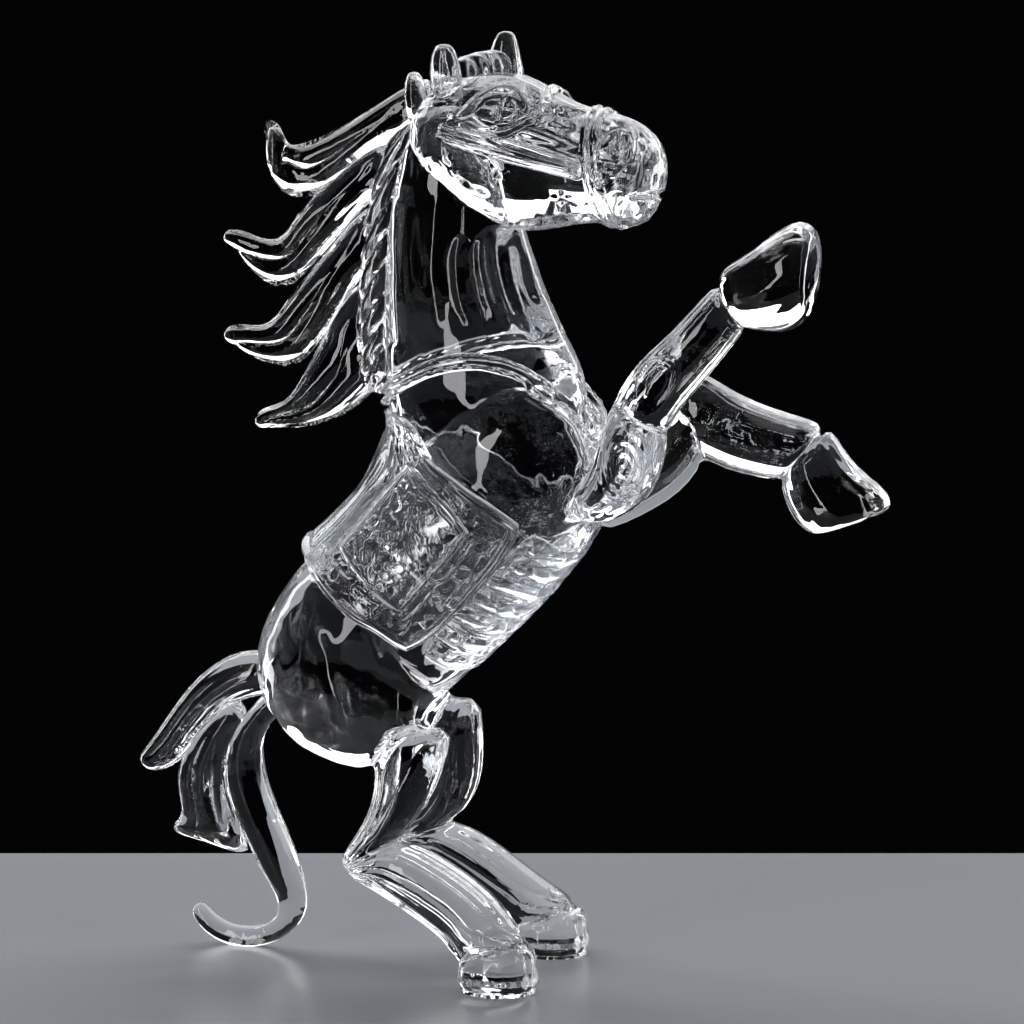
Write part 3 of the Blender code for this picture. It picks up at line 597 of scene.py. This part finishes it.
def full_front(points, normals):
    """Fills the front of the pastern so that the cannon runs on into the hoof."""
    z = horse(points)[:, 2]
    return 1.7 * np.exp(-((z - CORONET) / 3.6) ** 2) * ease(normals[:, 0], -0.1, 0.5)


def round_sole(points, normals):
    """Rounds the edge of a hoof's sole."""
    low = ease(ROUND - horse(points)[:, 2], 0, ROUND)
    return full_front(points, normals) - 1.2 * low * (1 - ease(-normals[:, 2], 0.8, 0.99))


RIPPLE = (37.0, 135.0)
SLEEVE = (
    (((40.5, 149.5), (41, 156), (43.5, 160), (47.5, 161), (50.5, 159.5), (50, 155), (46.5, 150),
      (43.5, 146)), 0.55, 0.6),
    (((42.3, 150.5), (43, 156), (46, 159), (48.8, 157.5), (47.5, 153), (44.5, 149.5)), 0.5, -0.5),
)


def sleeve_folds(points, normals):
    """The fold of glass where the near forearm comes out of its sleeve."""
    return strokes(horse(points)[:, [0, 2]], SLEEVE) * ease(-normals[:, 1], 0.1, 0.4)


LEGS = {
    "near_fore": ("near_upper_arm", "near_forearm", "near_fore_hoof"),
    "far_fore": ("far_upper_arm", "far_forearm", "far_fore_hoof"),
    "near_hind": ("near_gaskin", "near_hind_cannon", "near_hind_hoof"),
    "far_hind": ("far_gaskin", "far_hind_cannon", "far_hind_hoof"),
}


def make_legs():
    made = {}
    for leg, names in LEGS.items():
        reach, melt = (14, 90) if "hind" in leg else (6, 16)
        fused, label = fuse(names, ("trunk",), 0.42 * COARSE, 35, reach, melt)
        if leg == "near_fore":
            carve_part(fused, label, 0, ripples)
            carve_part(fused, label, 1, sleeve_folds)
        if "fore" in leg:
            carve_part(fused, label, 1, lobe_depth((0.75, 0.9), 0.4, -0.3, 1.2, 0.04))
        else:
            carve_part(fused, label, 0, lobe_depth((0.4, 0.75), 0.5, -0.3, 1.2))
            carve_part(fused, label, 1, lobe_depth((0.3, 0.55, 0.8), 0.5, -0.3, 1.2))
            carve_part(fused, label, 1, full_front)
            carve_part(fused, label, 2, round_sole)
        for number, name in enumerate(names):
            made[name] = part_of(fused, label, number, name)
        bpy.data.objects.remove(fused)
    return made


def make_trunk():
    names = ("near_upper_arm", "far_upper_arm", "near_gaskin", "far_gaskin")
    fused, label = fuse(("trunk",), names, 0.8 * COARSE, 25, 3, 6)
    carve_part(fused, label, 0, trunk_detail)
    made = part_of(fused, label, 0, "trunk")
    bpy.data.objects.remove(fused)
    return made


FINE = {"head": (0.4, 35), "near_ear": (0.3, 25), "far_ear": (0.3, 25), "headpiece": (0.25, 25)}


def gathers():
    """Every piece that was blown, drawn or pulled, with its own marks of work."""
    made = make_legs()
    made["trunk"] = make_trunk()
    for name in sorted(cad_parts):
        if name in SHEETS or name in made:
            continue
        voxel, passes = FINE.get(name, (0.45, 40))
        made[name] = skin(name, voxel * COARSE, passes, SWELL)
    carve(made["head"], face_detail)
    carve(made["mane_crest"], comb)
    carve(made["far_ear"], ear_shape(1.2))
    carve(made["near_ear"], ear_shape(-0.4))
    fill_down(made["forelock"], 3.6)
    carve(made["forelock"], plaits)
    for number in range(1, 5):
        carve(made[f"mane_lock_{number}"], lobes(2, 2.6, 0.42))
    carve(made["tail_outer_strand"], lobes(3, 1.2, 0.3))
    carve(made["tail_middle_strand"], lobes(3, 1.2, 0.3))
    for name, obj in sorted(made.items()):
        finish_piece(obj, SLOTS[name], name)
    return made


# ---------------------------------------------------------------- pressed sheets

SHEETS = ("saddle_cloth", "near_saddle_flap", "far_saddle_flap", "saddle_seat", "belly_girth",
          "breast_collar", "near_eye", "far_eye", "noseband", "browband", "near_cheek_strap",
          "far_cheek_strap")
TRUNK_START = np.array((-33.0, 0.0, 90.0))
TRUNK_SLOPE = math.radians(49.0)
CLOTH_U, CLOTH_DROP, CLOTH_ANGLE = (-1.5, 41.0), (4.5, 9.0), 127.0
SEAT_U, SEAT_ANGLE = (1.0, 36.5), 41.0
FLAP_U, FLAP_ANGLES = (11.0, 41.0), (46.0, 104.0)
REACH, BARREL = 36.0, 25.5
CLOTH_FACE, FLAP_FACE, SEAT_FACE = 1.5, 2.5, 3.4     # mm that each sheet stands off the barrel
SUNK = 0.1
COLLAR_CENTRE, COLLAR_RADII, COLLAR_RISE = (-5.0, 142.5), (32.0, 22.0), (2.2, 15.0)
COLLAR_ROUND, COLLAR_HALF = 172.0, 2.4               # its length round the neck, and half its width


def around_trunk(u, degrees):
    along = np.array((math.cos(TRUNK_SLOPE), 0, math.sin(TRUNK_SLOPE)))
    back = np.array((-math.sin(TRUNK_SLOPE), 0, math.cos(TRUNK_SLOPE)))
    angle = np.radians(degrees)[..., None]
    out = back * np.cos(angle) + np.array((0, 1, 0)) * np.sin(angle)
    return TRUNK_START + along * u[..., None] + out * REACH


def patch(u_range, drop, angles, pitch, crowd=0.0):
    """A fine grid over the trunk with rounded corners, and its s and t from -1 to 1.

    crowd draws its columns together towards the first angle, where the detail is."""
    rows = int((u_range[1] - u_range[0] + sum(drop) / 2) / (pitch * COARSE))
    cols = int(math.radians(angles[1] - angles[0]) * BARREL / (pitch * (1 + crowd) * COARSE))
    even = np.linspace(-1, 1, cols)
    s, t = np.meshgrid(np.linspace(-1, 1, rows), even + crowd * (even ** 2 - 1), indexing="ij")
    a, b = s * (1 - 0.06 * t ** 4), t * (1 - 0.06 * s ** 4)
    angle = sum(angles) / 2 + b * (angles[1] - angles[0]) / 2
    lean = np.where(angle > 180, np.minimum(angle, 360 - angle), np.abs(angle)) / CLOTH_ANGLE
    low, high = u_range[0] + drop[0] * lean, u_range[1] + drop[1] * lean
    u = (low + high) / 2 + a * (high - low) / 2
    return around_trunk(u, angle), s, t, u, angle


def drape(points, tree, closed=False, passes=4):
    """The grid laid on a gather, and its outward normals, both in mm."""
    flat = points.reshape(-1, 3)
    found = [tree.find_nearest(Vector((p + np.array(SHIFT)) * MM))[0] for p in flat]
    laid = np.array(found) / MM - np.array(SHIFT)
    laid = laid.reshape(points.shape)
    for _ in range(passes):
        if closed:
            laid = (laid * 2 + np.roll(laid, 1, 1) + np.roll(laid, -1, 1)) / 4
        else:
            laid[:, 1:-1] = (laid[:, 1:-1] * 2 + laid[:, 2:] + laid[:, :-2]) / 4
        laid[1:-1] = (laid[1:-1] * 2 + laid[2:] + laid[:-2]) / 4
    down = np.gradient(laid, axis=0)
    if closed:
        over = np.roll(laid, -1, 1) - np.roll(laid, 1, 1)
    else:
        over = np.gradient(laid, axis=1)
    out = np.cross(down, over)
    out /= np.linalg.norm(out, axis=2, keepdims=True)
    if np.sum(out * (points - laid)) < 0:
        out = -out
    return laid, out


def onto(points, way, tree):
    """The grid moved along one direction until it meets a gather."""
    start = (points + np.array(SHIFT)) * MM
    way = Vector(way)
    met = [tree.ray_cast(Vector(p), way)[0] or Vector(p) for p in start.reshape(-1, 3)]
    return np.array(met).reshape(points.shape) / MM - np.array(SHIFT)


def shell(name, laid, out, under, over, closed=False):
    """A closed sheet between two heights over the grid."""
    rows, cols = laid.shape[:2]
    lower = (laid + out * np.broadcast_to(under, (rows, cols))[..., None]).reshape(-1, 3)
    upper = (laid + out * over[..., None]).reshape(-1, 3)
    points = (np.vstack([upper, lower]) + np.array(SHIFT)) * MM
    index = np.arange(rows * cols).reshape(rows, cols)
    if closed:
        index = np.hstack([index, index[:, :1]])
    a, b, c, d = index[:-1, :-1], index[:-1, 1:], index[1:, 1:], index[1:, :-1]
    top = np.stack([a, b, c, d], -1).reshape(-1, 4)
    size = rows * cols
    faces = [top, top[:, ::-1] + size]
    edges = [index[0], index[-1][::-1]]
    if not closed:
        edges += [index[:, 0][::-1], index[:, -1]]
    for line in edges:
        p, q = line[:-1], line[1:]
        faces.append(np.stack([p, p + size, q + size, q], -1))
    faces = np.vstack(faces)
    mesh = bpy.data.meshes.new(name + "_glass")
    mesh.from_pydata(points.tolist(), [], faces.tolist())
    mesh.update()
    obj = link(name + "_glass", mesh)
    bm = bmesh.new()
    bm.from_mesh(mesh)
    bmesh.ops.recalc_face_normals(bm, faces=bm.faces)
    bm.to_mesh(mesh)
    bm.free()
    return obj


def rim_gap(s, t, sizes):
    """Distance to the nearest edge of a sheet, in mm."""
    return np.minimum((1 - np.abs(s)) * sizes[0] / 2, (1 - np.abs(t)) * sizes[1] / 2)


def bump_at(x, centre, width):
    return np.exp(-((x - centre) / width) ** 2)


def inside(u, angle, u_range, angles):
    """1 inside a patch of the barrel, 0 outside it, in soft steps."""
    side = np.abs(angle)
    return (ease(u, u_range[0], u_range[0] + 0.8) * (1 - ease(u, u_range[1] - 0.8, u_range[1]))
            * ease(side, angles[0], angles[0] + 2) * (1 - ease(side, angles[1] - 2, angles[1])))


def worn(angle):
    """The far side of the tack is worn softer than the near side: 1 near, less far."""
    return 1 - 0.75 * ease(np.sin(np.radians(angle)), -0.35, 0.35)


def place_on_barrel(tree, *grid, passes=40, **how):
    """A patch laid on the trunk: where it lies, its normals, and its coordinates."""
    points, s, t, u, angle = patch(*grid, **how)
    laid, out = drape(points, tree, passes=passes)
    return laid, out, s, t, u, angle, angle * math.radians(1) * BARREL


def make_cloth(tree):
    """A double rim, a border of scrolls, and pebbles over the field."""
    laid, out, s, t, u, angle, across = place_on_barrel(
        tree, CLOTH_U, CLOTH_DROP, (-CLOTH_ANGLE, CLOTH_ANGLE), 0.303, passes=150, crowd=0.28)
    edge = rim_gap(s, t, (49, 113))
    rim = 0.8 * bump_at(edge, 0.7, 0.55) + 0.5 * bump_at(edge, 2.3, 0.4)
    scroll = np.maximum(worms(u, across, 4.4, 11), stones(u, across, 3.2, 12))
    grain = stones(u, across, 2.6, 14)
    band = ease(edge, 2.6, 3.2)
    field = ease(edge, 8.0, 8.6)
    relief = rim + band * ((1 - field) * scroll + field * grain)
    relief = worn(angle) * (relief + 0.45 * bump_at(edge, 8.2, 0.4))
    under_flap = inside(u, angle, FLAP_U, FLAP_ANGLES)
    under_seat = inside(u, angle, SEAT_U, (-1e3, SEAT_ANGLE))
    over = CLOTH_FACE + relief * (1 - np.maximum(under_flap, under_seat))
    return shell("saddle_cloth", laid, out, -SUNK, over)


def make_flap(tree, name, angles):
    """Pebbled inside a double rim."""
    laid, out, s, t, u, angle, across = place_on_barrel(tree, FLAP_U, (0, 0), angles, 0.19)
    edge = rim_gap(s, t, (30, 26))
    relief = 0.55 * bump_at(edge, 0.6, 0.45) + 0.35 * bump_at(edge, 1.9, 0.35)
    grain = stones(u, across, 2.6, 21)
    over = FLAP_FACE + worn(angle) * (relief + ease(edge, 2.1, 2.7) * grain)
    return shell(name, laid, out, CLOTH_FACE - SUNK, over)


def make_seat(tree):
    """High at the back, thin at the withers, with a rolled edge and shallow flutes along it."""
    laid, out, s, t, u, angle, across = place_on_barrel(
        tree, SEAT_U, (0, 0), (-SEAT_ANGLE, SEAT_ANGLE), 0.34, passes=200)
    edge = rim_gap(s, t, (38, 36))
    rise = s * s * (1 - 0.6 * t * t)
    relief = 0.7 * bump_at(edge, 1.0, 0.8) - 0.35 * bump_at(edge, 2.8, 0.5)
    flute = 0.3 * np.cos(2 * math.pi * across / 5.2) * ease(edge, 3.2, 5.0)
    front = 1 - ease(s, 0.35, 1.0)
    over = CLOTH_FACE + 0.3 + (SEAT_FACE - CLOTH_FACE - 0.3 + rise + relief + flute) * front
    return shell("saddle_seat", laid, out, CLOTH_FACE - SUNK, over)


def make_girth(tree):
    """Seven ribs round the belly, broken up as cast blocks."""
    laid, out, s, t, u, angle, across = place_on_barrel(
        tree, (CLOTH_U[0] + 1, CLOTH_U[1] - 1), CLOTH_DROP, (CLOTH_ANGLE, 360 - CLOTH_ANGLE), 0.34)
    across = across - math.pi * BARREL
    rib = (0.5 - 0.5 * np.cos(math.pi * (s + 1) * 7)) ** 2.0
    blocks = ease(curls(u, across, 4.5, 41), -0.12, 0.0)
    over = 0.9 + 0.9 * worn(angle) ** 3 * rib * (0.3 + 0.7 * blocks)
    return shell("belly_girth", laid, out, -SUNK, over)


def make_collar(tree):
    """Two twisted ropes with a trough between them, knotted in front."""
    turn = np.linspace(0, 2 * math.pi, int(COLLAR_ROUND / (0.36 * COARSE)), endpoint=False)
    v = np.linspace(-COLLAR_HALF, COLLAR_HALF, int(2 * COLLAR_HALF / (0.26 * COARSE)))
    v, turn = np.meshgrid(v, turn, indexing="ij")
    ahead, aside = np.cos(turn), np.sin(turn)
    rise = COLLAR_RISE[0] * (1 - ahead) + COLLAR_RISE[1] * aside ** 2 * (1 + 0.3 * ahead)
    points = np.stack([COLLAR_CENTRE[0] + COLLAR_RADII[0] * ahead, COLLAR_RADII[1] * aside,
                       COLLAR_CENTRE[1] + rise + v], -1)
    laid, out = drape(points, tree, closed=True, passes=10)
    twist = turn * COLLAR_ROUND / (2 * math.pi)
    knot = ease(ahead, 0.72, 0.95)
    ropes = 1.0 * bump_at(v, 1.6, 0.62) * (1 + 0.22 * np.sin(2 * math.pi * (twist + v) / 3.0))
    ropes += 1.0 * bump_at(v, -1.6, 0.62) * (1 + 0.22 * np.sin(2 * math.pi * (twist - v) / 3.6))
    over = 0.9 + ropes * (1 - 0.3 * knot) + knot * 0.4 * curls(twist, v, 2.6, 51)
    return shell("breast_collar", laid, out, -SUNK, over, closed=True)


def make_sheets(tree):
    near, far = (-FLAP_ANGLES[1], -FLAP_ANGLES[0]), FLAP_ANGLES
    made = {
        "saddle_cloth": make_cloth(tree),
        "near_saddle_flap": make_flap(tree, "near_saddle_flap", near),
        "far_saddle_flap": make_flap(tree, "far_saddle_flap", far),
        "saddle_seat": make_seat(tree),
        "belly_girth": make_girth(tree),
        "breast_collar": make_collar(tree),
    }
    for name, obj in made.items():
        finish_piece(obj, SLOTS[name], name)


HEAD_STRETCH = 1.083
CHEEK_LINE = ((-13, 216), (-6, 213.8), (3, 211.3), (12, 208.9), (22.4, 206.1))
CHEEK_HALF, CHEEK_REACH = 2.0, 17.0
NOSEBAND = (25.8, 206, 18, 14, 2.5, -0.08, 180)      # x, z, two radii, half width, lean, half angle
BROWBAND = (14.5, 209, 20, 17, 1.5, -0.1, 58)
EYE_SIZE, EYE_RISE, EYE_SUNK = 2.75, 1.5, 0.3         # radius, crown, and depth in the head
EYE_CAST = 12.0                                      # how far outside the cheek its place is cast from


def on_head(x, y, z):
    """A point of the head as drawn, stretched forward of the poll and turned about it."""
    x = (x - POLL[0]) * HEAD_STRETCH
    c, s = math.cos(HEAD_TURN), math.sin(HEAD_TURN)
    return np.stack([x * c - y * s + POLL[0], x * s + y * c, z + 0 * x], -1)


def strap_profile(v, ridges, width=0.38, rise=0.45, base=0.9):
    return base + sum(rise * bump_at(v, r, width) for r in ridges)


def make_cheek_strap(tree, side, sign, rise):
    """Three raised lines along a flat band."""
    line = smooth_line(CHEEK_LINE, 60)
    way = np.gradient(line, axis=0)
    way /= np.linalg.norm(way, axis=1, keepdims=True)
    v = np.linspace(-CHEEK_HALF, CHEEK_HALF, int(18 / COARSE))
    x = line[None, ::3, 0] - way[None, ::3, 1] * v[:, None]
    z = line[None, ::3, 1] + way[None, ::3, 0] * v[:, None]
    laid, out = drape(on_head(x, sign * CHEEK_REACH + 0 * x, z), tree)
    share = np.linspace(0, 1, x.shape[1])[None, :]
    ends = ease(np.minimum(share, 1 - share), 0, 0.05)
    over = 0.1 + ends * (strap_profile(v[:, None], (-1.65, -0.2, 1.65), rise=rise) - 0.1) + 0 * x
    return shell(side + "_cheek_strap", laid, out, -SUNK, over)


def make_band(tree, name, band, ridges):
    """Two rounded straps side by side, round the nose or over the brow."""
    x, z, tall, wide, half, lean, reach = band
    whole = reach == 180
    steps = int(340 * reach / 180 / COARSE)
    turn = np.radians(np.linspace(-reach, reach, steps, endpoint=not whole))
    v = np.linspace(-half, half, int(half * 8 / COARSE))
    v, turn = np.meshgrid(v, turn, indexing="ij")
    up = np.cos(turn) * tall
    place = on_head(x + (v + lean * up) / HEAD_STRETCH, np.sin(turn) * wide, z + up)
    laid, out = drape(place, tree, closed=whole, passes=6)
    over = strap_profile(v, ridges, 0.3 * half, 0.5, 0.6)
    return shell(name, laid, out, -SUNK, over, closed=whole)


def make_eye(tree, side, sign):
    """A clear lens inside a pair of lids."""
    low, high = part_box(side + "_eye")
    middle = np.array((low + high) / 2) / MM - np.array(SHIFT)
    s, t = np.meshgrid(*[np.linspace(-1, 1, int(28 / COARSE))] * 2, indexing="ij")
    a, b = s * np.sqrt(1 - t * t / 2), t * np.sqrt(1 - s * s / 2)
    ahead = np.array((math.cos(HEAD_TURN), math.sin(HEAD_TURN), 0)) * EYE_SIZE
    aside = np.array((-math.sin(HEAD_TURN), math.cos(HEAD_TURN), 0)) * sign
    points = middle + a[..., None] * ahead + b[..., None] * np.array((0, 0, EYE_SIZE))
    laid, out = drape(onto(points + EYE_CAST * aside, -aside, tree), tree, passes=30)
    over = EYE_RISE * np.sqrt(np.clip(1 - a * a - b * b, 0, 1))
    return shell(side + "_eye", laid, out, -EYE_SUNK, over)


def make_bridle(tree):
    made = {
        "near_cheek_strap": make_cheek_strap(tree, "near", -1, 0.55),
        "far_cheek_strap": make_cheek_strap(tree, "far", 1, 0.2),
        "noseband": make_band(tree, "noseband", NOSEBAND, (-1.3, 1.3)),
        "browband": make_band(tree, "browband", BROWBAND, (-0.9, 0.9)),
        "near_eye": make_eye(tree, "near", -1),
        "far_eye": make_eye(tree, "far", 1),
    }
    for name, obj in made.items():
        finish_piece(obj, SLOTS[name], name)


def ripples(points, normals):
    """Rings in the sleeve of glass where the near foreleg was pulled out of the chest."""
    x, _, z = horse(points).T
    ring = np.hypot(x - RIPPLE[0], (z - RIPPLE[1]) / 1.5)
    height = 0.28 * np.cos(2 * math.pi * ring / 1.9) * np.exp(-(ring / 5.5) ** 2)
    return height * ease(-normals[:, 1], 0.1, 0.5)


SLOTS = {name: node.data.materials[0].name.split(".")[0] for name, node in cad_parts.items()}
blown = gathers()
graph = bpy.context.evaluated_depsgraph_get()
make_sheets(BVHTree.FromObject(blown["trunk"], graph))
make_bridle(BVHTree.FromObject(blown["head"], graph))

# ---------------------------------------------------------------- stage, light and camera

VIEW_TURN = math.radians(19.5)
VIEW_RISE = math.radians(7.0)
VIEW_DISTANCE = 0.867
AIM = CENTRE + Vector((0.0055, 0.0, -0.001))


def staged(right, away, up):
    """A point given as seen from the camera: to its right, away from it, and up."""
    return AIM + Vector((right * math.cos(VIEW_TURN) - away * math.sin(VIEW_TURN),
                         right * math.sin(VIEW_TURN) + away * math.cos(VIEW_TURN), up))


TABLE = Vector((0.7, 0.42, 0.04))
TABLE_BACK = 0.138         # how far its back edge is behind the horse


def make_floor():
    bm = bmesh.new()
    bmesh.ops.create_cube(bm, size=1)
    bmesh.ops.scale(bm, vec=TABLE, verts=bm.verts)
    mesh = bpy.data.meshes.new("table_top")
    bm.to_mesh(mesh)
    bm.free()
    table = link("table_top", mesh)
    table.rotation_euler.z = VIEW_TURN
    table.location = staged(0, TABLE_BACK - TABLE.y / 2, 0)
    table.location.z = cad_low.z - TABLE.z / 2 - 0.0001
    edge = table.modifiers.new("Edge", "BEVEL")
    edge.width = 0.002
    edge.segments = 3
    mat = bpy.data.materials.new("pale_table")
    mat.use_nodes = True
    surface = mat.node_tree.nodes["Principled BSDF"]
    surface.inputs["Base Color"].default_value = (0.31, 0.33, 0.36, 1)
    surface.inputs["Roughness"].default_value = 0.35
    mesh.materials.append(mat)


def softbox(name, place, width, height, radiance):
    data = bpy.data.lights.new(name, "AREA")
    data.shape = "RECTANGLE"
    data.size, data.size_y = width, height
    data.energy = radiance * math.pi * width * height
    lamp = bpy.data.objects.new(name, data)
    bpy.context.scene.collection.objects.link(lamp)
    lamp.location = place
    lamp.rotation_euler = (AIM - place).to_track_quat("-Z", "Y").to_euler()
    lamp.visible_camera = False


# Each softbox: its place as seen from the camera, its width and height in metres, and its radiance.
SOFTBOXES = {
    "overhead": ((0.0, 0.48, 0.58), 1.4, 0.75, 2.4),
    "left_back_strip": ((-0.62, 0.36, 0.12), 0.12, 0.8, 6.4),
    "right_back_strip": ((0.62, 0.36, 0.12), 0.12, 0.8, 6.4),
    "left_front_strip": ((-0.55, -0.5, 0.15), 0.1, 0.8, 6.4),
    "right_front_strip": ((0.6, -0.4, 0.15), 0.08, 0.8, 3.5),
}


def make_light():
    for name, (place, width, height, radiance) in SOFTBOXES.items():
        softbox(name, staged(*place), width, height, radiance)
    world = bpy.data.worlds.new("dark_room")
    world.use_nodes = True
    world.node_tree.nodes["Background"].inputs["Color"].default_value = (0.001, 0.001, 0.001, 1)
    bpy.context.scene.world = world


def make_camera():
    data = bpy.data.cameras.new("photo_angle")
    data.lens = 120.0
    data.sensor_width = 36.0
    data.clip_end = 20.0
    camera = bpy.data.objects.new("photo_angle", data)
    bpy.context.scene.collection.objects.link(camera)
    back = Vector((math.sin(VIEW_TURN) * math.cos(VIEW_RISE),
                   -math.cos(VIEW_TURN) * math.cos(VIEW_RISE), math.sin(VIEW_RISE)))
    camera.location = AIM + back * VIEW_DISTANCE
    camera.rotation_euler = (-back).to_track_quat("-Z", "Y").to_euler()
    bpy.context.scene.camera = camera


make_floor()
make_light()
make_camera()
scene = bpy.context.scene
scene.view_settings.view_transform = "Standard"
scene.cycles.max_bounces = 32
scene.cycles.glossy_bounces = 16
scene.cycles.transmission_bounces = 32
scene.cycles.transparent_max_bounces = 16
